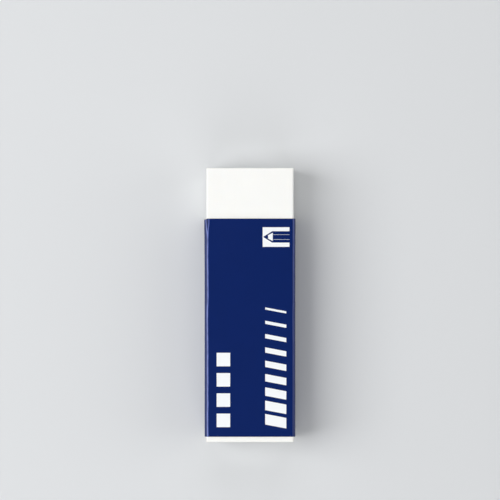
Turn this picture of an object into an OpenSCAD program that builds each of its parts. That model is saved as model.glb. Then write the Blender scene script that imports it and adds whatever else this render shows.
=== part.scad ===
// Eraser block in a folded card sleeve, lying on the sleeve's back panel.
// X runs across it, Y runs along it towards the working end, Z is up.
// The origin is at the middle of the underside. All sizes are in millimetres.

/* [Eraser block] */
// Length of the block
block_length = 65; // [60:0.5:80]
// Width of the block's broad face
block_width = 20.7; // [18:0.1:26]
// Thickness of the block
block_thickness = 12; // [9:0.5:15]
// Rounding of the four long edges, which the bar comes out of its die with
long_edge_r = 0.4; // [0.25:0.05:1]
// Rounding of the edges that the knife leaves round each cut end
cut_edge_r = 0.2; // [0.1:0.05:0.2]

/* [Card sleeve] */
// Length of the sleeve
sleeve_length = 51.7; // [40:0.1:56]
// How far the block's rear end stands out of the sleeve
rear_stand_out = 1.3; // [0.5:0.1:3]
// Thickness of the card
card_thickness = 0.35; // [0.25:0.01:0.5]
// Gap between the block and the card, on each side
slip_gap = 0.05; // [0.03:0.01:0.15]

/* [Glued seam] */
// Width of the glue flap, which lies inside the back panel
flap_width = 14; // [6:0.5:16]
// How much shorter the flap is at each end of its free edge
flap_taper = 1.5; // [0:0.1:4]
// Distance from the back panel's free edge to the sleeve's side
seam_setback = 1.2; // [0.9:0.1:4]

/* [Hidden] */

$fn = 64;
vinyl_white = [0.96, 0.96, 0.94];
printed_navy = [0.06, 0.15, 0.37];
// Overlap of a cut past the face that it starts from
cut_past = 0.1;

// The room that the sleeve leaves for the block
room_width = block_width + 2 * slip_gap;
room_height = block_thickness + 2 * slip_gap;

// A fold runs round the block's long edge with the same gap as the flat panels
fold_inside_r = long_edge_r + slip_gap;
fold_outside_r = fold_inside_r + card_thickness;

// Heights of the layers under the block: the back panel, then the flap glued on it
flap_z = card_thickness;
block_z = 2 * card_thickness + slip_gap;

// Across the sleeve, the flat part of the front panel ends at +flat_x and -flat_x
flat_x = room_width / 2 - fold_inside_r;
sleeve_side_x = room_width / 2 + card_thickness;

// Along the block, from its rear end to its working end
block_rear_y = -block_length / 2;
sleeve_rear_y = block_rear_y + rear_stand_out;
sleeve_middle_y = sleeve_rear_y + sleeve_length / 2;

// Flat widths of the card blank between its folds, in the order that they wrap round the block
flap_side_height = room_height - 2 * fold_inside_r;
back_side_height = flap_side_height + card_thickness;
back_width = flat_x + sleeve_side_x - seam_setback;
blank = [flap_width, flap_side_height, 2 * flat_x, back_side_height, back_width];

// Extrudes an outline drawn in X and Z along Y, with its middle at the given Y
module along_y(length, middle_y = 0) {
    translate([0, middle_y + length / 2, 0])
        rotate([90, 0, 0])
            linear_extrude(length)
                children();
}

// A rectangle on the origin with its corners rounded by true arcs
module rounded_rectangle(width, height, r) {
    square([width - 2 * r, height], center = true);
    square([width, height - 2 * r], center = true);
    for (x = [-1, 1], y = [-1, 1])
        translate([x * (width / 2 - r), y * (height / 2 - r)])
            circle(r);
}

// The bar of eraser, cut to length: round long edges and crisper ones round the cut ends
module eraser_block() {
    color(vinyl_white)
        translate([0, 0, block_z + block_thickness / 2])
            intersection() {
                along_y(block_length)
                    rounded_rectangle(block_width, block_thickness, long_edge_r);
                translate([0, 0, -block_thickness / 2])
                    linear_extrude(block_thickness)
                        rounded_rectangle(block_width, block_length, cut_edge_r);
                translate([-block_width / 2, 0, 0])
                    rotate([90, 0, 90])
                        linear_extrude(block_width)
                            rounded_rectangle(block_length, block_thickness, cut_edge_r);
            }
}

// Section of a quarter turn of card that starts at the origin, running along +X, and turns left
module fold_section() {
    translate([0, fold_outside_r])
        intersection() {
            difference() {
                circle(fold_outside_r);
                circle(fold_inside_r);
            }
            translate([0, -fold_outside_r])
                square(fold_outside_r);
        }
}

// Section of the blank from panel i on. The panel's outer face starts at the origin and runs
// along +X, and every later panel is a fold and a quarter turn further round.
module wrapped_section(i = 0) {
    square([blank[i], card_thickness]);
    if (i < len(blank) - 1)
        translate([blank[i], 0]) {
            fold_section();
            translate([fold_outside_r, fold_outside_r])
                rotate(90)
                    wrapped_section(i + 1);
        }
}

// What is trimmed off the glue flap at the sleeve's front end, from its root to its free edge
module flap_trim() {
    end_y = sleeve_length / 2;
    translate([flat_x, sleeve_middle_y, flap_z])
        linear_extrude(card_thickness + cut_past)
            polygon([
                [0, end_y],
                [-flap_width, end_y - flap_taper],
                [-flap_width - cut_past, end_y - flap_taper],
                [-flap_width - cut_past, end_y + cut_past],
                [0, end_y + cut_past]
            ]);
}

// The card sleeve: one strip folded round the block, its back panel glued over its flap
module card_sleeve() {
    color(printed_navy)
        difference() {
            along_y(sleeve_length, sleeve_middle_y)
                translate([flat_x - flap_width, flap_z])
                    wrapped_section();
            flap_trim();
            translate([0, 2 * sleeve_middle_y, 0])
                mirror([0, 1, 0])
                    flap_trim();
        }
}

eraser_block();
card_sleeve();
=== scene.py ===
"""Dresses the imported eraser: a white vinyl block in a navy card sleeve, lying on its back panel.

X runs across the eraser, Y along it towards the working end, and Z is up. Blender works in metres.
Sizes that Blender takes are written in millimetres and multiplied by MM, and the materials turn
their coordinates to millimetres, so the sizes of their patterns are written without it.
"""

import functools
import math

import bmesh
import bpy
from mathutils import Matrix, Vector, noise
from mathutils.bvhtree import BVHTree


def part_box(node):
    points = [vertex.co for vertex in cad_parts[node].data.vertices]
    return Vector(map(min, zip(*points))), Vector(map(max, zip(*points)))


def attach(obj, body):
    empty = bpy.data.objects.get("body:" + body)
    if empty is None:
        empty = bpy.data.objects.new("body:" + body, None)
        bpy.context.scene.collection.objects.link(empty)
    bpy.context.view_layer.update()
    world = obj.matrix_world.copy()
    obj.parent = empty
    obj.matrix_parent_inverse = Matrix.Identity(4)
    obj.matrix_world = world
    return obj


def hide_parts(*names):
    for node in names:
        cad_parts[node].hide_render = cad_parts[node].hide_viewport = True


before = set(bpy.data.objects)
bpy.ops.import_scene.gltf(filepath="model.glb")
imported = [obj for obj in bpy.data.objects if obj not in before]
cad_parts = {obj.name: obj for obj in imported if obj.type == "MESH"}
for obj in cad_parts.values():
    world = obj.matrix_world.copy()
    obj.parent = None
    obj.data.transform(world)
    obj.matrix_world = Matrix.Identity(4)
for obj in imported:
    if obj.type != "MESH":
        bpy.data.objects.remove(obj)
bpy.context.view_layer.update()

MM = 0.001

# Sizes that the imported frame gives
block_low, block_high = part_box("eraser_block")
sleeve_low, sleeve_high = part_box("card_sleeve")
SLEEVE_WIDTH = sleeve_high.x - sleeve_low.x
SLEEVE_HEIGHT = sleeve_high.z - sleeve_low.z
SLEEVE_LENGTH = sleeve_high.y - sleeve_low.y
# Beside the block there is one card and the slip gap, and under it two cards and the gap
SIDE_ROOM = sleeve_high.x - block_high.x
CARD = block_low.z - sleeve_low.z - SIDE_ROOM

# Sizes that the frame's boxes don't give, as in the solids
FOLD_RADIUS = 0.8 * MM
FLAP_WIDTH = 14 * MM
FLAP_TAPER = 1.5 * MM
SEAM_SETBACK = 1.2 * MM
LONG_EDGE_RADIUS = 0.4 * MM
CUT_EDGE_RADIUS = 0.2 * MM

# The table holds the folded card level, and has lost its hold at this height
TABLE_HOLD = 2 * MM
# The back panel's outer face lies below this, and the glue flap above it
BACK_LEVEL = 0.1 * MM

# Cooling draws the block's faces in by this much at least and twice as much at most, unevenly over
# some 12 mm. The powers keep a face level until it is close to its long edges or its ends.
FACE_SINK = 0.02 * MM
FACE_WAVE = 12 * MM
LEVEL_TO_EDGES = 4
LEVEL_TO_ENDS = 8

# The pale lines along the front's two folds, partly ink that handling has rubbed off and partly a
# painted highlight: the place across and the half width, both in millimetres, and the strength of
# each line at the sleeve's mouth and at its rear
RUB_AND_HIGHLIGHT_LEFT = {"at": -10.03, "half_width": 0.26, "at_mouth": 0.62, "at_rear": 0.62}
RUB_AND_HIGHLIGHT_RIGHT = {"at": 10.27, "half_width": 0.15, "at_mouth": 0.3, "at_rear": 0.02}
# A hand fold wanders by a tenth of a millimetre over some 10 mm
WANDER = 0.12
WANDER_LENGTH = 10
# The left line forks towards the mouth, where the card was creased twice
FORK_LENGTH = 5
FORK_SPREAD = 0.38
# The pale lines are patchy over 1 to 2 mm, and their faintest patches keep this share of their strength
PATCH_LENGTH = 1.5
PATCH_LEAST = 0.6
# Folding crazes the varnish from just before the bend to well round it, and leaves it this rough
CRAZED_BEFORE = 0.1
CRAZED_AFTER = 0.25
CRAZED_ROUGHNESS = 0.5

# The front print, in millimetres. Each row of marks has the place of its first mark, at the rear,
# its number of marks, their pitch along the sleeve, the first and last mark's width along it, their
# reach across it, how much they slant for each unit of reach, and the radius of their corners.
PRINT_ROWS = [
    {
        "at": (6.1, -27.5),
        "count": 9,
        "pitch": 3.28,
        "first": 2.5,
        "last": 0.5,
        "reach": 5.0,
        "slant": 0.19,
        "corner": 0.06,
    },
    {
        "at": (-6.3, -27.3),
        "count": 4,
        "pitch": 4.8,
        "first": 3.2,
        "last": 3.2,
        "reach": 3.2,
        "slant": 0.0,
        "corner": 0.06,
    },
    {
        "at": (7.42, 15.54),
        "count": 2,
        "pitch": 1.15,
        "first": 0.055,
        "last": 0.055,
        "reach": 3.9,
        "slant": 0.0,
        "corner": 0.02,
    },
]
# The pencil sign: a plate with a pencil left out of it, and the pencil's bare wood, which an arc
# parts from the lead
PENCIL_POINT = (3.1, 16.15)
PENCIL_PLATE = [
    (3.0, 13.8),
    (9.35, 13.8),
    (9.35, 14.8),
    (5.25, 14.8),
    PENCIL_POINT,
    (5.25, 17.5),
    (9.35, 17.5),
    (9.35, 18.45),
    (3.0, 18.45),
]
PENCIL_WOOD = [(5.4, 15.16), (5.4, 17.14)]
PENCIL_LEAD = 1.2
PENCIL_LEAD_TURNS = [18, 9, 0, -9, -18]
INK_RISE = 0.01 * MM

# Faces that curve are cut this finely
PRINT_GRID = 1 * MM
BLOCK_GRID = 1.5 * MM
# Points closer than this are one
SPECK = 0.001 * MM

# The picture: 500 pixels show 118.44 mm of the sleeve's front, round this point of the part
FRAMED_WIDTH = 118.44 * MM
FRAMED_POINT = Vector((0, 13.05 * MM, sleeve_high.z))
LENS_MM = 150
SENSOR_MM = 36

# The world is brightest at the horizon and darkest overhead. Heights are sines of the elevation.
HORIZON = {"height": 0.3, "strength": 0.3}
CEILING = {"height": 0.85, "strength": 0.05}

# Kinds of node that come often, and their settings
MATH, VECTOR_MATH, MAP_RANGE = "ShaderNodeMath", "ShaderNodeVectorMath", "ShaderNodeMapRange"
NOISE, MIX, BUMP, MAPPING = "ShaderNodeTexNoise", "ShaderNodeMix", "ShaderNodeBump", "ShaderNodeMapping"
JOIN_XYZ, SPLIT_XYZ = "ShaderNodeCombineXYZ", "ShaderNodeSeparateXYZ"
PLUS, MINUS = {"operation": "ADD"}, {"operation": "SUBTRACT"}
TIMES, OVER = {"operation": "MULTIPLY"}, {"operation": "DIVIDE"}
BELOW, ABOVE = {"operation": "LESS_THAN"}, {"operation": "GREATER_THAN"}
UNSIGNED, WHOLE = {"operation": "ABSOLUTE"}, {"operation": "FLOOR"}
SMOOTH = {"interpolation_type": "SMOOTHSTEP"}
COLOURS = {"data_type": "RGBA"}
VECTORS = {"data_type": "FLOAT_VECTOR", "domain": "POINT"}
# Most of a noise texture lies between these
MOST_NOISE = {"From Min": 0.3, "From Max": 0.7}
FADING = {"To Min": 1.0, "To Max": 0.0}


def linear(hex_colour):
    """An sRGB hex colour as the linear RGBA that shaders take."""
    channels = [int(hex_colour[place : place + 2], 16) / 255 for place in (1, 3, 5)]
    return (*(c / 12.92 if c <= 0.04045 else ((c + 0.055) / 1.055) ** 2.4 for c in channels), 1)


def feed(node, feeds):
    """Fills a node's inputs, by name or number, with a value, a socket, a node's first live output,
    or a list of nodes where several may join."""
    live = [socket for socket in node.inputs if socket.enabled]
    for key, value in feeds.items():
        taker = live[key] if isinstance(key, int) else next(s for s in live if s.name == key)
        sources = value if isinstance(value, list) else [value]
        for source in sources:
            if isinstance(source, bpy.types.Node):
                source = next(s for s in source.outputs if s.enabled)
            if isinstance(source, bpy.types.NodeSocket):
                node.id_data.links.new(source, taker)
            else:
                taker.default_value = source


def add_node(tree, kind, settings=None, feeds=None):
    """Adds one node to a tree, sets its properties and fills its inputs."""
    made = tree.nodes.new(kind)
    for name, value in (settings or {}).items():
        setattr(made, name, value)
    feed(made, feeds or {})
    return made


def open_tree(name, lengths, counts):
    """A geometry tree with named inputs for its lengths and its counts. Returns the tree, the
    inputs' sockets and the node that takes the result."""
    tree = bpy.data.node_groups.new(name, "GeometryNodeTree")
    tree.interface.new_socket("Geometry", in_out="OUTPUT", socket_type="NodeSocketGeometry")
    for kind, labels in {"NodeSocketFloat": lengths, "NodeSocketInt": counts}.items():
        for label in labels:
            tree.interface.new_socket(label, in_out="INPUT", socket_type=kind)
    return tree, tree.nodes.new("NodeGroupInput").outputs, tree.nodes.new("NodeGroupOutput")


def grow(name, tree, values, finish=None):
    """Runs a tree on an empty object and returns the object with the plain mesh that it made.
    finish adds further modifiers to the object first."""
    piece = bpy.data.objects.new(name, bpy.data.meshes.new(name))
    bpy.context.scene.collection.objects.link(piece)
    modifier = piece.modifiers.new(tree.name, "NODES")
    modifier.node_group = tree
    for socket in tree.interface.items_tree:
        if socket.in_out == "INPUT":
            modifier[socket.identifier] = values[socket.name]
    if finish:
        finish(piece)
    graph = bpy.context.evaluated_depsgraph_get()
    mesh = bpy.data.meshes.new_from_object(piece.evaluated_get(graph), depsgraph=graph)
    piece.modifiers.clear()
    piece.data = mesh
    mesh.name = name
    return piece


def open_material(name, colour):
    """A material whose shader starts from one colour. Returns it, a function that adds a node to
    it, its shader, and the surface's own coordinates in millimetres."""
    material = bpy.data.materials.new(name)
    material.use_nodes = True
    material.diffuse_color = colour
    add = functools.partial(add_node, material.node_tree)
    shader = material.node_tree.nodes["Principled BSDF"]
    shader.inputs["Base Color"].default_value = colour
    place = add("ShaderNodeTexCoord").outputs["Object"]
    in_mm = add(MAPPING, None, {"Vector": place, "Scale": (1 / MM,) * 3})
    return material, add, shader, in_mm


def varnish(add, shader, in_mm, smoothest, roughest, crazed=0.0):
    """A gloss varnish over board. Board fibres are 0.02 mm wide, too fine to show, so they are
    drawn 0.3 mm wide: they roughen the varnish and leave it uneven by some microns. Where crazed
    is 1, the varnish is crazed and scuffed matt."""
    fibre = add(NOISE, None, {"Vector": in_mm, "Scale": 1 / 0.3, "Detail": 3.0, "Roughness": 0.55})
    sound = add(
        MAP_RANGE, None, {"Value": fibre, **MOST_NOISE, "To Min": smoothest, "To Max": roughest}
    )
    rough = add(MIX, None, {"Factor": crazed, "A": sound, "B": CRAZED_ROUGHNESS})
    bump = add(BUMP, None, {"Height": fibre, "Strength": 1.0, "Distance": 0.004 * MM})
    feed(shader, {"Roughness": rough, "Normal": bump, "IOR": 1.5})


def rub_and_highlight_share(add, in_mm, place):
    """How strongly the pale lines along the front's two folds show, from 0 to 1: partly ink that
    handling has scuffed off, partly a painted highlight. place holds the point's X, Y and Z on the
    card as it was folded, in millimetres."""
    on_left = add(MATH, BELOW, {0: place["X"], 1: 0.0})
    at, half_width, at_mouth, at_rear = (
        add(MAP_RANGE, None, {"Value": on_left, "To Min": RUB_AND_HIGHLIGHT_RIGHT[key], "To Max": RUB_AND_HIGHLIGHT_LEFT[key]})
        for key in ("at", "half_width", "at_mouth", "at_rear")
    )
    rear, mouth = sleeve_low.y / MM, sleeve_high.y / MM
    strength = add(
        MAP_RANGE,
        None,
        {"Value": place["Y"], "From Min": rear, "From Max": mouth, "To Min": at_rear, "To Max": at_mouth},
    )
    wave = add(
        NOISE,
        {"noise_dimensions": "1D"},
        {"W": place["Y"], "Scale": 1 / WANDER_LENGTH, "Detail": 3.0},
    )
    wander = add(
        MAP_RANGE,
        None,
        {"Value": wave, "From Min": 0.25, "From Max": 0.75, "To Min": -WANDER, "To Max": WANDER},
    )
    from_fold = add(MATH, MINUS, {0: place["X"], 1: at})
    from_line = add(MATH, MINUS, {0: from_fold, 1: wander})
    off_line = add(MATH, UNSIGNED, {0: from_line})
    near_mouth = add(
        MAP_RANGE, SMOOTH, {"Value": place["Y"], "From Min": mouth - FORK_LENGTH, "From Max": mouth}
    )
    forking = add(MATH, TIMES, {0: near_mouth, 1: on_left})
    spread = add(MATH, TIMES, {0: forking, 1: FORK_SPREAD})
    from_branch = add(MATH, MINUS, {0: off_line, 1: spread})
    off_branch = add(MATH, UNSIGNED, {0: from_branch})
    # Each branch is half as wide as the line
    narrowing = add(MAP_RANGE, None, {"Value": forking, "To Min": 1.0, "To Max": 0.5})
    fade_end = add(MATH, TIMES, {0: half_width, 1: narrowing})
    line = add(MAP_RANGE, SMOOTH, {"Value": off_branch, "From Max": fade_end, **FADING})
    on_front = add(MATH, ABOVE, {0: place["Z"], 1: SLEEVE_HEIGHT / 2 / MM})
    front_line = add(MATH, TIMES, {0: line, 1: on_front})
    patch = add(NOISE, None, {"Vector": in_mm, "Scale": 1 / PATCH_LENGTH, "Detail": 3.0})
    patchy = add(
        MAP_RANGE,
        None,
        {"Value": patch, "From Min": 0.3, "From Max": 0.6, "To Min": PATCH_LEAST, "To Max": 1.0},
    )
    # The painted highlight and rubbed ink are patchy along the fold
    rub_and_highlight_strength = add(MATH, TIMES, {0: strength, 1: patchy})
    return add(MATH, TIMES, {0: front_line, 1: rub_and_highlight_strength})


def varnished_navy_print():
    """Folding boxboard printed solid navy by offset and varnished. The ink is very even, the
    varnish's sheen catches on the folds, and a pale line is painted along the front's two: partly
    ink that handling has scuffed off, partly a painted highlight."""
    ink, dense_ink, rub_and_highlight_colour = linear("#0A2362"), linear("#09215C"), linear("#8FA2F2")
    material, add, shader, in_mm = open_material("varnished_navy_print", ink)
    # Ink density drifts over some 6 mm
    drift = add(NOISE, None, {"Vector": in_mm, "Scale": 1 / 6, "Detail": 2.0})
    solid = add(MIX, COLOURS, {"Factor": drift, "A": dense_ink, "B": ink})
    # Where each point lay before handling bent the card, so that the rubbed ink and painted highlight
    # keep to the folds
    folded = add("ShaderNodeAttribute", {"attribute_name": "as_folded"}).outputs["Vector"]
    folded_mm = add(MAPPING, None, {"Vector": folded, "Scale": (1 / MM,) * 3})
    place = add(SPLIT_XYZ, None, {"Vector": folded_mm}).outputs
    # Pale lines along the front's folds, painted into the colour: partly ink rubbed off by handling,
    # partly a painted highlight
    rub_and_highlight = rub_and_highlight_share(add, in_mm, place)
    feed(shader, {"Base Color": add(MIX, COLOURS, {"Factor": rub_and_highlight, "A": solid, "B": rub_and_highlight_colour})})
    across = add(MATH, UNSIGNED, {0: place["X"]})
    bend = (sleeve_high.x - FOLD_RADIUS) / MM
    crazed = add(
        MAP_RANGE,
        SMOOTH,
        {"Value": across, "From Min": bend - CRAZED_BEFORE, "From Max": bend + CRAZED_AFTER},
    )
    varnish(add, shader, in_mm, smoothest=0.13, roughest=0.2, crazed=crazed)
    return material


def bare_board():
    """The board's unprinted side and its cut edges: matt, warm white and slightly fibrous."""
    paper, fleck = linear("#E9E5DA"), linear("#CBC4B4")
    material, add, shader, in_mm = open_material("bare_board", paper)
    # The fibres are drawn as wide as under the varnish
    fibre = add(NOISE, None, {"Vector": in_mm, "Scale": 1 / 0.3, "Detail": 4.0, "Roughness": 0.7})
    share = add(MAP_RANGE, None, {"Value": fibre, "From Min": 0.45, "From Max": 0.8})
    colour = add(MIX, COLOURS, {"Factor": share, "A": paper, "B": fleck})
    bump = add(BUMP, None, {"Height": fibre, "Strength": 0.5, "Distance": 0.01 * MM})
    feed(shader, {"Base Color": colour, "Normal": bump, "Roughness": 0.85})
    return material


def white_print():
    """Opaque white ink under the same varnish as the navy."""
    material, add, shader, in_mm = open_material("white_print", linear("#F7FAFC"))
    varnish(add, shader, in_mm, smoothest=0.18, roughest=0.26)
    return material


def soft_white_vinyl():
    """Filled soft PVC, extruded and knife-cut: matt, milky white, with a little light inside it."""
    white, shade = linear("#FBFBF8"), linear("#F7F7F3")
    material, add, shader, in_mm = open_material("soft_white_vinyl", white)
    # The filler clouds the white over some 9 mm
    cloud = add(NOISE, None, {"Vector": in_mm, "Scale": 1 / 9, "Detail": 2.0})
    colour = add(MIX, COLOURS, {"Factor": cloud, "A": shade, "B": white})
    # The surface's grain is some 0.2 mm
    grain = add(NOISE, None, {"Vector": in_mm, "Scale": 1 / 0.2, "Detail": 3.0, "Roughness": 0.55})
    grained = add(BUMP, None, {"Height": grain, "Strength": 1.0, "Distance": 0.02 * MM})
    # The die leaves lines along the bar, 0.4 mm apart, and the knife leaves finer ones down its
    # ends, 0.25 mm apart, which wander as it drags
    die_place = add(MAPPING, None, {"Vector": in_mm, "Scale": (1, 0.02, 1)})
    die_lines = add(NOISE, None, {"Vector": die_place, "Scale": 1 / 0.4, "Detail": 2.0})
    knife_lean = (0, math.radians(12), 0)
    knife_place = add(MAPPING, None, {"Vector": in_mm, "Rotation": knife_lean, "Scale": (1, 1, 0.04)})
    knife_lines = add(
        NOISE,
        None,
        {"Vector": knife_place, "Scale": 1 / 0.25, "Detail": 3.0, "Distortion": 0.3},
    )
    along = add(SPLIT_XYZ, None, {"Vector": in_mm}).outputs["Y"]
    from_middle = add(MATH, UNSIGNED, {0: along})
    # The knife's lines take over on the rounding of the cut edge
    end, rounding = block_high.y / MM, CUT_EDGE_RADIUS / MM
    on_end = add(
        MAP_RANGE,
        None,
        {"Value": from_middle, "From Min": end - rounding, "From Max": end - rounding / 4},
    )
    lines = add(MIX, None, {"Factor": on_end, "A": die_lines, "B": knife_lines})
    lined = {"Height": lines, "Strength": 1.0, "Distance": 0.03 * MM, "Normal": grained}
    feed(
        shader,
        {
            "Base Color": colour,
            "Roughness": add(
                MAP_RANGE, None, {"Value": grain, **MOST_NOISE, "To Min": 0.45, "To Max": 0.62}
            ),
            "Normal": add(BUMP, None, lined),
            "IOR": 1.53,
            "Subsurface Weight": 0.2,
            "Subsurface Radius": (1, 0.9, 0.8),
            "Subsurface Scale": 0.8 * MM,
        },
    )
    return material


def section_path(add, given, half, left, flap_edge):
    """The folded strip's section as a curve. It starts at the glue flap's free edge, runs up one
    side, over the front, down the other side and under, to the back panel's free edge."""
    seam_edge = add(MATH, MINUS, {0: half, 1: given["Seam setback"]})
    flap_level = add(MATH, PLUS, {0: given["Card"], 1: given["Glue"]})
    corners = [
        (flap_edge, flap_level),
        (half, flap_level),
        (half, given["Height"]),
        (left, given["Height"]),
        (left, 0.0),
        (seam_edge, 0.0),
    ]
    index = add("GeometryNodeInputIndex")
    corner = add("GeometryNodeIndexSwitch", {"data_type": "VECTOR"})
    while len(corner.index_switch_items) < len(corners):
        corner.index_switch_items.new()
    feed(corner, {"Index": index})
    for place, (across, up) in enumerate(corners):
        feed(corner, {place + 1: add(JOIN_XYZ, None, {"X": across, "Z": up})})
    points = add("GeometryNodePoints", None, {"Count": len(corners), "Position": corner})
    sharp_path = add("GeometryNodePointsToCurves", None, {"Points": points})
    round_path = add(
        "GeometryNodeFilletCurve",
        {"mode": "POLY"},
        {"Curve": sharp_path, "Count": given["Fold steps"], "Radius": given["Fold radius"]},
    )
    # Flat stretches get a point each Step, so that they can bow
    position = add("GeometryNodeInputPosition")
    following = add(MATH, PLUS, {0: index, 1: 1.0})
    ahead = add("GeometryNodeFieldAtIndex", VECTORS, {"Value": position, "Index": following})
    stretch = add(VECTOR_MATH, {"operation": "DISTANCE"}, {0: ahead, 1: position})
    steps = add(MATH, OVER, {0: stretch.outputs["Value"], 1: given["Step"]})
    cuts = add(MATH, WHOLE, {0: steps})
    return add("GeometryNodeSubdivideCurve", None, {"Curve": round_path, "Cuts": cuts})


def sheet_on_path(add, given, path):
    """A grid laid on the path, with one column for each of its points and rows along the sleeve."""
    index = add("GeometryNodeInputIndex")
    columns = add("GeometryNodeAttributeDomainSize", {"component": "CURVE"}, {"Geometry": path})
    row_steps = add(MATH, OVER, {0: given["Length"], 1: given["Step"]})
    rows = add(MATH, {"operation": "CEIL"}, {0: row_steps})
    column_count = columns.outputs["Point Count"]
    grid = add(
        "GeometryNodeMeshGrid",
        None,
        {"Size X": 1.0, "Size Y": 1.0, "Vertices X": column_count, "Vertices Y": rows},
    )
    column_share = add(MATH, OVER, {0: index, 1: rows})
    column = add(MATH, WHOLE, {0: column_share})
    row = add(MATH, {"operation": "MODULO"}, {0: index, 1: rows})
    on_path = add(
        "GeometryNodeSampleIndex",
        VECTORS,
        {"Geometry": path, "Value": add("GeometryNodeInputPosition"), "Index": column},
    )
    along_path = add("GeometryNodeSplineParameter").outputs["Length"]
    from_flap_edge = add(
        "GeometryNodeSampleIndex",
        {"data_type": "FLOAT", "domain": "POINT"},
        {"Geometry": path, "Value": along_path, "Index": column},
    )
    # The flap is trimmed shorter towards its free edge, so its rows close up
    last_row = add(MATH, MINUS, {0: rows, 1: 1.0})
    row_share = add(MATH, OVER, {0: row, 1: last_row})
    from_middle = add(MATH, MINUS, {0: row_share, 1: 0.5})
    half_length = add(MATH, TIMES, {0: given["Length"], 1: 0.5})
    trim = add(MATH, OVER, {0: given["Flap taper"], 1: half_length})
    free_edge = add(MATH, MINUS, {0: 1.0, 1: trim})
    kept = add(
        MAP_RANGE,
        None,
        {"Value": from_flap_edge, "From Max": given["Flap width"], "To Min": free_edge, "To Max": 1.0},
    )
    row_place = add(MATH, TIMES, {0: from_middle, 1: kept})
    row_offset = add(MATH, TIMES, {0: row_place, 1: given["Length"]})
    middle = add(MATH, PLUS, {0: given["Rear end"], 1: half_length})
    along = add(MATH, PLUS, {0: middle, 1: row_offset})
    place = add(VECTOR_MATH, PLUS, {0: on_path, 1: add(JOIN_XYZ, None, {"Y": along})})
    return add("GeometryNodeSetPosition", None, {"Geometry": grid, "Position": place})


def lift_off_block(add, given, at, near_mouth, flat, flap_edge):
    """How far handling has moved each panel out from the block."""
    across = add(MATH, UNSIGNED, {0: at["X"]})
    middle_height = add(MATH, TIMES, {0: given["Height"], 1: 0.5})
    up = add(MATH, MINUS, {0: at["Z"], 1: middle_height})
    up_or_down = add(MATH, UNSIGNED, {0: up})
    flat_height = add(MATH, MINUS, {0: middle_height, 1: given["Fold radius"]})
    front_crown = add(MAP_RANGE, SMOOTH, {"Value": across, "From Max": flat, **FADING})
    side_crown = add(MAP_RANGE, SMOOTH, {"Value": up_or_down, "From Max": flat_height, **FADING})
    off_table = add(
        MAP_RANGE, None, {"Value": at["Z"], "From Min": given["Fold radius"], "From Max": TABLE_HOLD}
    )
    front_only = add(MATH, TIMES, {0: front_crown, 1: off_table})
    crown = add(MATH, PLUS, {0: front_only, 1: side_crown})
    flare = add(MATH, TIMES, {0: near_mouth, 1: given["Flare"]})
    bow = add(MATH, PLUS, {0: flare, 1: given["Bow"]})
    bowed = add(MATH, TIMES, {0: crown, 1: bow})
    ripple_scale = add(MATH, OVER, {0: 1.0, 1: given["Ripple size"]})
    ripple = add(NOISE, None, {"Scale": ripple_scale, "Detail": 1.0})
    rippled = add(MATH, TIMES, {0: ripple, 1: given["Ripple"]})
    held_down = add(MATH, TIMES, {0: rippled, 1: off_table})
    raised = add(MATH, PLUS, {0: bowed, 1: held_down})
    # Beside the flap nothing backs the back panel, so it sinks towards the block, most at the
    # middle of the hollow, where the product of the shares to both its edges is a quarter
    left_flat = add(MATH, TIMES, {0: flat, 1: -1.0})
    beside_flap = add(
        MAP_RANGE, None, {"Value": at["X"], "From Min": left_flat, "From Max": flap_edge}
    )
    rest_of_it = add(MATH, MINUS, {0: 1.0, 1: beside_flap})
    product = add(MATH, TIMES, {0: beside_flap, 1: rest_of_it})
    hollow = add(MATH, TIMES, {0: product, 1: 4.0})
    on_back = add(MATH, BELOW, {0: at["Z"], 1: BACK_LEVEL})
    back_hollow = add(MATH, TIMES, {0: hollow, 1: on_back})
    sunk = add(MATH, TIMES, {0: back_hollow, 1: given["Sink"]})
    return add(MATH, MINUS, {0: raised, 1: sunk})


def handling(add, given, half, left, flat, flap_edge):
    """How far handling has moved each point of the folded card: the panels bow off the block, most
    at the mouth, which hands have opened, and a knock has pushed its upper left corner back."""
    position = add("GeometryNodeInputPosition")
    at = add(SPLIT_XYZ, None, {"Vector": position}).outputs
    mouth_end = add(MATH, PLUS, {0: given["Rear end"], 1: given["Length"]})
    flare_start = add(MATH, MINUS, {0: mouth_end, 1: given["Flare reach"]})
    near_mouth = add(
        MAP_RANGE, SMOOTH, {"Value": at["Y"], "From Min": flare_start, "From Max": mouth_end}
    )
    lift = lift_off_block(add, given, at, near_mouth, flat, flap_edge)
    # The grid's normals point inwards
    outward = add(MATH, TIMES, {0: lift, 1: -1.0})
    normal = add("GeometryNodeInputNormal")
    lifted = add(VECTOR_MATH, {"operation": "SCALE"}, {0: normal, "Scale": outward})
    spans_mouth = {"From Min": left, "From Max": half}
    spreads = {"To Min": given["Spread left"], "To Max": given["Spread right"]}
    spread = add(MAP_RANGE, None, {"Value": at["X"], **spans_mouth, **spreads})
    spread_here = add(MATH, TIMES, {0: spread, 1: near_mouth})
    left_flat = add(MATH, TIMES, {0: flat, 1: -1.0})
    knock_start = add(MATH, MINUS, {0: mouth_end, 1: given["Knock reach"]})
    knock_low = add(MATH, MINUS, {0: given["Height"], 1: given["Knock reach"]})
    spans = {"X": (left_flat, left), "Y": (knock_start, mouth_end), "Z": (knock_low, given["Height"])}
    to_corner = [
        add(MAP_RANGE, SMOOTH, {"Value": at[axis], "From Min": start, "From Max": end})
        for axis, (start, end) in spans.items()
    ]
    to_edge = add(MATH, TIMES, {0: to_corner[0], 1: to_corner[1]})
    at_corner = add(MATH, TIMES, {0: to_edge, 1: to_corner[2]})
    knocked = add(MATH, TIMES, {0: at_corner, 1: given["Knock"]})
    back = add(MATH, TIMES, {0: knocked, 1: -1.0})
    return add(VECTOR_MATH, PLUS, {0: lifted, 1: add(JOIN_XYZ, None, {"X": spread_here, "Y": back})})


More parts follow.
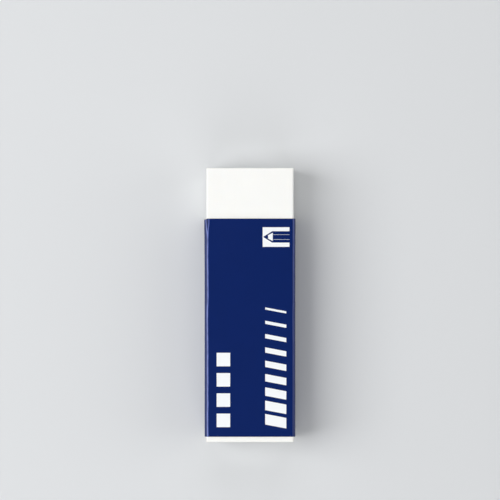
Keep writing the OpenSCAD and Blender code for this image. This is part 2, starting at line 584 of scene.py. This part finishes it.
def folded_strip_tree(printed, bare):
    """A strip of card folded round the block, printed outside and bare inside."""
    lengths = [
        "Width",
        "Height",
        "Length",
        "Rear end",
        "Card",
        "Glue",
        "Fold radius",
        "Step",
        "Flap width",
        "Flap taper",
        "Seam setback",
        "Bow",
        "Flare",
        "Flare reach",
        "Spread left",
        "Spread right",
        "Ripple",
        "Ripple size",
        "Sink",
        "Knock",
        "Knock reach",
    ]
    tree, given, result = open_tree("folded strip", lengths, ["Fold steps"])
    add = functools.partial(add_node, tree)
    half = add(MATH, TIMES, {0: given["Width"], 1: 0.5})
    left = add(MATH, TIMES, {0: half, 1: -1.0})
    flat = add(MATH, MINUS, {0: half, 1: given["Fold radius"]})
    flap_edge = add(MATH, MINUS, {0: flat, 1: given["Flap width"]})
    path = section_path(add, given, half, left, flap_edge)
    folded = sheet_on_path(add, given, path)
    marked = add(
        "GeometryNodeStoreNamedAttribute",
        VECTORS,
        {"Geometry": folded, "Name": "as_folded", "Value": add("GeometryNodeInputPosition")},
    )
    moved = handling(add, given, half, left, flat, flap_edge)
    shaped = add("GeometryNodeSetPosition", None, {"Geometry": marked, "Offset": moved})
    # The grid faces inwards: its flipped copy is the printed face, and it is raised to the bare one
    print_side = add("GeometryNodeFlipFaces", None, {"Mesh": shaped})
    print_face = add("GeometryNodeSetMaterial", None, {"Geometry": print_side, "Material": printed})
    inside = add(
        "GeometryNodeExtrudeMesh",
        {"mode": "FACES"},
        {"Mesh": shaped, "Offset Scale": given["Card"], "Individual": False},
    )
    bare_face = add("GeometryNodeSetMaterial", None, {"Geometry": inside, "Material": bare})
    both = add("GeometryNodeJoinGeometry", None, {"Geometry": [print_face, bare_face]})
    closed = add("GeometryNodeMergeByDistance", None, {"Geometry": both, "Distance": SPECK})
    smoothed = add("GeometryNodeSetShadeSmooth", None, {"Geometry": closed})
    feed(result, {"Geometry": add("GeometryNodeRealizeInstances", None, {"Geometry": smoothed})})
    return tree


def cut_on_grid(mesh, low, high, step):
    """Cuts a bmesh along planes a step apart on every axis, so that its faces can curve."""
    for axis in range(3):
        facing = Vector([float(axis == other) for other in range(3)])
        for number in range(1, math.ceil((high[axis] - low[axis]) / step)):
            bmesh.ops.bisect_plane(
                mesh,
                geom=[*mesh.verts, *mesh.edges, *mesh.faces],
                plane_co=facing * (low[axis] + number * step),
                plane_no=facing,
                dist=SPECK,
            )


def smooth_piece(name, mesh, material):
    """Turns a bmesh into an object of one material, with all its faces shaded smooth."""
    for face in mesh.faces:
        face.smooth = True
    piece = bpy.data.objects.new(name, bpy.data.meshes.new(name))
    mesh.to_mesh(piece.data)
    mesh.free()
    piece.data.materials.append(material)
    bpy.context.scene.collection.objects.link(piece)
    return piece


def row_of_marks_tree(ink):
    """A row of flat four-cornered marks, whose width runs evenly from the first to the last."""
    lengths = ["Pitch", "First width", "Last width", "Reach", "Slant", "Corner radius"]
    tree, given, result = open_tree("row of marks", lengths, ["Count"])
    add = functools.partial(add_node, tree)
    corners = [(-1, -1, 0), (1, -1, 0), (1, 1, 0), (-1, 1, 0)]
    index = add("GeometryNodeInputIndex")
    share = add(MATH, OVER, {0: index, 1: len(corners)})
    mark = add(MATH, WHOLE, {0: share})
    corner = add(MATH, {"operation": "MODULO"}, {0: index, 1: len(corners)})
    towards = add("GeometryNodeIndexSwitch", {"data_type": "VECTOR"})
    while len(towards.index_switch_items) < len(corners):
        towards.index_switch_items.new()
    feed(towards, {"Index": corner})
    for place, signs in enumerate(corners):
        feed(towards, {place + 1: signs})
    last = add(MATH, MINUS, {0: given["Count"], 1: 1.0})
    widths = {"To Min": given["First width"], "To Max": given["Last width"]}
    width = add(MAP_RANGE, None, {"Value": mark, "From Max": last, **widths})
    size = add(JOIN_XYZ, None, {"X": given["Reach"], "Y": width})
    half_size = add(VECTOR_MATH, {"operation": "SCALE"}, {0: size, "Scale": 0.5})
    from_centre = add(VECTOR_MATH, TIMES, {0: towards, 1: half_size})
    across = add(SPLIT_XYZ, None, {"Vector": from_centre}).outputs["X"]
    slant = add(MATH, TIMES, {0: across, 1: given["Slant"]})
    centre = add(MATH, TIMES, {0: mark, 1: given["Pitch"]})
    along = add(MATH, MINUS, {0: centre, 1: slant})
    place = add(VECTOR_MATH, PLUS, {0: from_centre, 1: add(JOIN_XYZ, None, {"Y": along})})
    corner_count = add(MATH, TIMES, {0: given["Count"], 1: len(corners)})
    points = add("GeometryNodePoints", None, {"Count": corner_count, "Position": place})
    lines = add("GeometryNodePointsToCurves", None, {"Points": points, "Curve Group ID": mark})
    closed = add("GeometryNodeSetSplineCyclic", None, {"Geometry": lines, "Cyclic": True})
    rounded = add(
        "GeometryNodeFilletCurve",
        {"mode": "POLY"},
        {"Curve": closed, "Count": 3, "Radius": given["Corner radius"]},
    )
    filled = add("GeometryNodeFillCurve", {"mode": "NGONS"}, {"Curve": rounded})
    real = add("GeometryNodeRealizeInstances", None, {"Geometry": filled})
    feed(result, {"Geometry": add("GeometryNodeSetMaterial", None, {"Geometry": real, "Material": ink})})
    return tree


def add_rows_of_marks(mesh, ink):
    """Adds the rows of marks to a bmesh, at their places on the flat front."""
    tree = row_of_marks_tree(ink)
    for row in PRINT_ROWS:
        sizes = {
            "Count": row["count"],
            "Pitch": row["pitch"] * MM,
            "First width": row["first"] * MM,
            "Last width": row["last"] * MM,
            "Reach": row["reach"] * MM,
            "Slant": row["slant"],
            "Corner radius": row["corner"] * MM,
        }
        marks = grow("marks", tree, sizes)
        across, along = row["at"]
        marks.data.transform(Matrix.Translation((across * MM, along * MM, 0)))
        mesh.from_mesh(marks.data)
        bpy.data.objects.remove(marks)


def add_pencil_sign(mesh):
    """Adds the pencil sign to a bmesh, at its place on the flat front."""
    point_x, point_y = PENCIL_POINT
    turns = [math.radians(turn) for turn in PENCIL_LEAD_TURNS]
    lead_arc = [
        (point_x + PENCIL_LEAD * math.cos(turn), point_y + PENCIL_LEAD * math.sin(turn))
        for turn in turns
    ]
    for outline in (PENCIL_PLATE, PENCIL_WOOD + lead_arc):
        mesh.faces.new([mesh.verts.new((x * MM, y * MM, 0)) for x, y in outline])


def front_print(ink, sleeve):
    """The white print on the front panel: marks of no meaning, and a pencil sign at the mouth."""
    mesh = bmesh.new()
    add_rows_of_marks(mesh, ink)
    add_pencil_sign(mesh)
    mesh.normal_update()
    bmesh.ops.triangulate(mesh, faces=mesh.faces, ngon_method="EAR_CLIP")
    cut_on_grid(mesh, sleeve_low, sleeve_high, PRINT_GRID)
    bmesh.ops.dissolve_degenerate(mesh, dist=2 * SPECK, edges=mesh.edges)
    # The ink lies on the panel as it bows
    panel = BVHTree.FromObject(sleeve, bpy.context.evaluated_depsgraph_get())
    for vertex in mesh.verts:
        above = Vector((vertex.co.x, vertex.co.y, 2 * sleeve_high.z))
        hit = panel.ray_cast(above, Vector((0, 0, -1)))[0]
        vertex.co.z = hit.z + INK_RISE
    for edge in mesh.edges:
        edge.smooth = not edge.is_boundary
    piece = smooth_piece("front_print", mesh, ink)
    # The film reaches as far into the card as it rises from it, so that no gap shows
    film = piece.modifiers.new("film", "SOLIDIFY")
    film.thickness = 2 * INK_RISE
    film.offset = -1
    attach(piece, "sleeve")


def soften_cut_edges(piece):
    """Die-cut board has edges that are rounded by a few hundredths of a millimetre. A fold turns by
    some 10 degrees from face to face, so the limit finds the cut edges alone."""
    bevel = piece.modifiers.new("cut edges", "BEVEL")
    bevel.width = 0.03 * MM
    bevel.segments = 2
    bevel.limit_method = "ANGLE"
    bevel.angle_limit = math.radians(60)
    piece.modifiers.new("flat panels", "WEIGHTED_NORMAL").keep_sharp = True


def card_sleeve(printed, bare):
    """The printed sleeve, folded from one strip of card."""
    sizes = {
        "Width": SLEEVE_WIDTH,
        "Height": SLEEVE_HEIGHT,
        "Length": SLEEVE_LENGTH,
        "Rear end": sleeve_low.y,
        "Card": CARD,
        "Glue": 0.01 * MM,
        "Fold radius": FOLD_RADIUS,
        "Fold steps": 9,
        "Step": 0.5 * MM,
        "Flap width": FLAP_WIDTH,
        "Flap taper": FLAP_TAPER,
        "Seam setback": SEAM_SETBACK,
        # What handling and the glue have done to it
        "Bow": 0.03 * MM,
        "Flare": 0.1 * MM,
        "Flare reach": 16 * MM,
        "Spread left": -0.08 * MM,
        "Spread right": 0.03 * MM,
        "Ripple": 0.03 * MM,
        "Ripple size": 9 * MM,
        "Sink": 0.14 * MM,
        "Knock": 0.3 * MM,
        "Knock reach": 2.5 * MM,
    }
    piece = grow("sleeve_card", folded_strip_tree(printed, bare), sizes, soften_cut_edges)
    piece.data.set_sharp_from_angle(angle=math.radians(40))
    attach(piece, "sleeve")
    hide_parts("card_sleeve")
    return piece


def rounded_bar(size, middle):
    """A bmesh bar: rounded along its four long edges, and crisper round its ends."""
    mesh = bmesh.new()
    bmesh.ops.create_cube(mesh, size=1, matrix=Matrix.LocRotScale(middle, None, size))
    long_edges = [e for e in mesh.edges if abs(e.verts[0].co.y - e.verts[1].co.y) > size.y / 2]
    bmesh.ops.bevel(
        mesh, geom=long_edges, offset=LONG_EDGE_RADIUS, segments=6, profile=0.5, affect="EDGES"
    )
    # An end's rim has one face that looks along the bar
    end_edges = [
        e
        for e in mesh.edges
        if sum(abs(abs(f.normal.y) - 1) < 0.01 for f in e.link_faces) == 1
    ]
    bmesh.ops.bevel(
        mesh, geom=end_edges, offset=CUT_EDGE_RADIUS, segments=4, profile=0.5, affect="EDGES"
    )
    return mesh


def vinyl_block(vinyl):
    """The bar of eraser, with the slight sink of a soft bar's faces."""
    size, middle = block_high - block_low, (block_low + block_high) / 2
    mesh = rounded_bar(size, middle)
    cut_on_grid(mesh, block_low, block_high, BLOCK_GRID)
    for vertex in mesh.verts:
        out = vertex.co - middle
        share = [min(1, abs(distance) / (whole / 2)) for distance, whole in zip(out, size)]
        unevenness = noise.noise(vertex.co / FACE_WAVE) * 0.5 + 0.5
        sink = FACE_SINK * (1 + unevenness) * (1 - share[1] ** LEVEL_TO_ENDS)
        for axis, beside in ((0, 2), (2, 0)):
            inward = sink * (1 - share[beside] ** LEVEL_TO_EDGES) * share[axis]
            vertex.co[axis] -= math.copysign(inward, out[axis])
    piece = smooth_piece("vinyl_block", mesh, vinyl)
    piece.modifiers.new("flat faces", "WEIGHTED_NORMAL")
    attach(piece, "eraser")
    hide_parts("eraser_block")


def studio_floor():
    """A plain pale floor that keeps the eraser's shadow."""
    bpy.ops.mesh.primitive_plane_add(size=4, location=(0, 0, 0))
    floor = bpy.context.object
    floor.name = "studio_floor"
    paint = bpy.data.materials.new("pale_floor")
    paint.use_nodes = True
    shader = paint.node_tree.nodes["Principled BSDF"]
    feed(shader, {"Base Color": linear("#DADCDE"), "Roughness": 0.9, "Specular IOR Level": 0.2})
    floor.data.materials.append(paint)


def camera():
    """The camera looks straight down on the printed front, with the working end at the top."""
    lens = bpy.data.cameras.new("camera")
    lens.lens = LENS_MM
    lens.sensor_width = SENSOR_MM
    lens.clip_start = 0.01
    holder = bpy.data.objects.new("camera", lens)
    bpy.context.scene.collection.objects.link(holder)
    holder.location = FRAMED_POINT + Vector((0, 0, FRAMED_WIDTH * LENS_MM / SENSOR_MM))
    bpy.context.scene.camera = holder


def softbox(name, azimuth, off_vertical, distance, across, along, radiance):
    """A soft box that points at the eraser. Azimuth 0 is the +X side and 90 the +Y side, both in
    degrees, and radiance is the brightness of its face, where 1 is white."""
    lamp = bpy.data.lights.new(name, "AREA")
    lamp.shape = "RECTANGLE"
    lamp.size, lamp.size_y = across, along
    lamp.energy = radiance * math.pi * across * along
    holder = bpy.data.objects.new(name, lamp)
    bpy.context.scene.collection.objects.link(holder)
    turn, lean = math.radians(azimuth), math.radians(off_vertical)
    away = Vector(
        (math.sin(lean) * math.cos(turn), math.sin(lean) * math.sin(turn), math.cos(lean))
    )
    holder.location = away * distance
    holder.rotation_euler = away.to_track_quat("Z", "Y").to_euler()
    holder.visible_camera = False


def studio():
    """Soft boxes round a dark ceiling, so that the flat front mirrors nothing bright."""
    softbox("key", azimuth=180, off_vertical=40, distance=0.8, across=0.5, along=0.7, radiance=4.6)
    softbox("rim", azimuth=0, off_vertical=60, distance=0.8, across=0.45, along=0.7, radiance=1.5)
    for name, azimuth in (("front_fill", -90), ("back_fill", 90)):
        softbox(name, azimuth, off_vertical=50, distance=0.9, across=0.6, along=0.6, radiance=1.7)
    world = bpy.data.worlds.new("studio")
    bpy.context.scene.world = world
    world.use_nodes = True
    add = functools.partial(add_node, world.node_tree)
    direction = add("ShaderNodeTexCoord").outputs["Generated"]
    height = add(SPLIT_XYZ, None, {"Vector": direction}).outputs["Z"]
    heights = {"From Min": HORIZON["height"], "From Max": CEILING["height"]}
    strengths = {"To Min": HORIZON["strength"], "To Max": CEILING["strength"]}
    strength = add(MAP_RANGE, SMOOTH, {"Value": height, **heights, **strengths})
    feed(world.node_tree.nodes["Background"], {"Color": (1, 1, 1, 1), "Strength": strength})
    bpy.context.scene.view_settings.view_transform = "Standard"


camera()
studio()
studio_floor()
sleeve = card_sleeve(varnished_navy_print(), bare_board())
vinyl_block(soft_white_vinyl())
front_print(white_print(), sleeve)
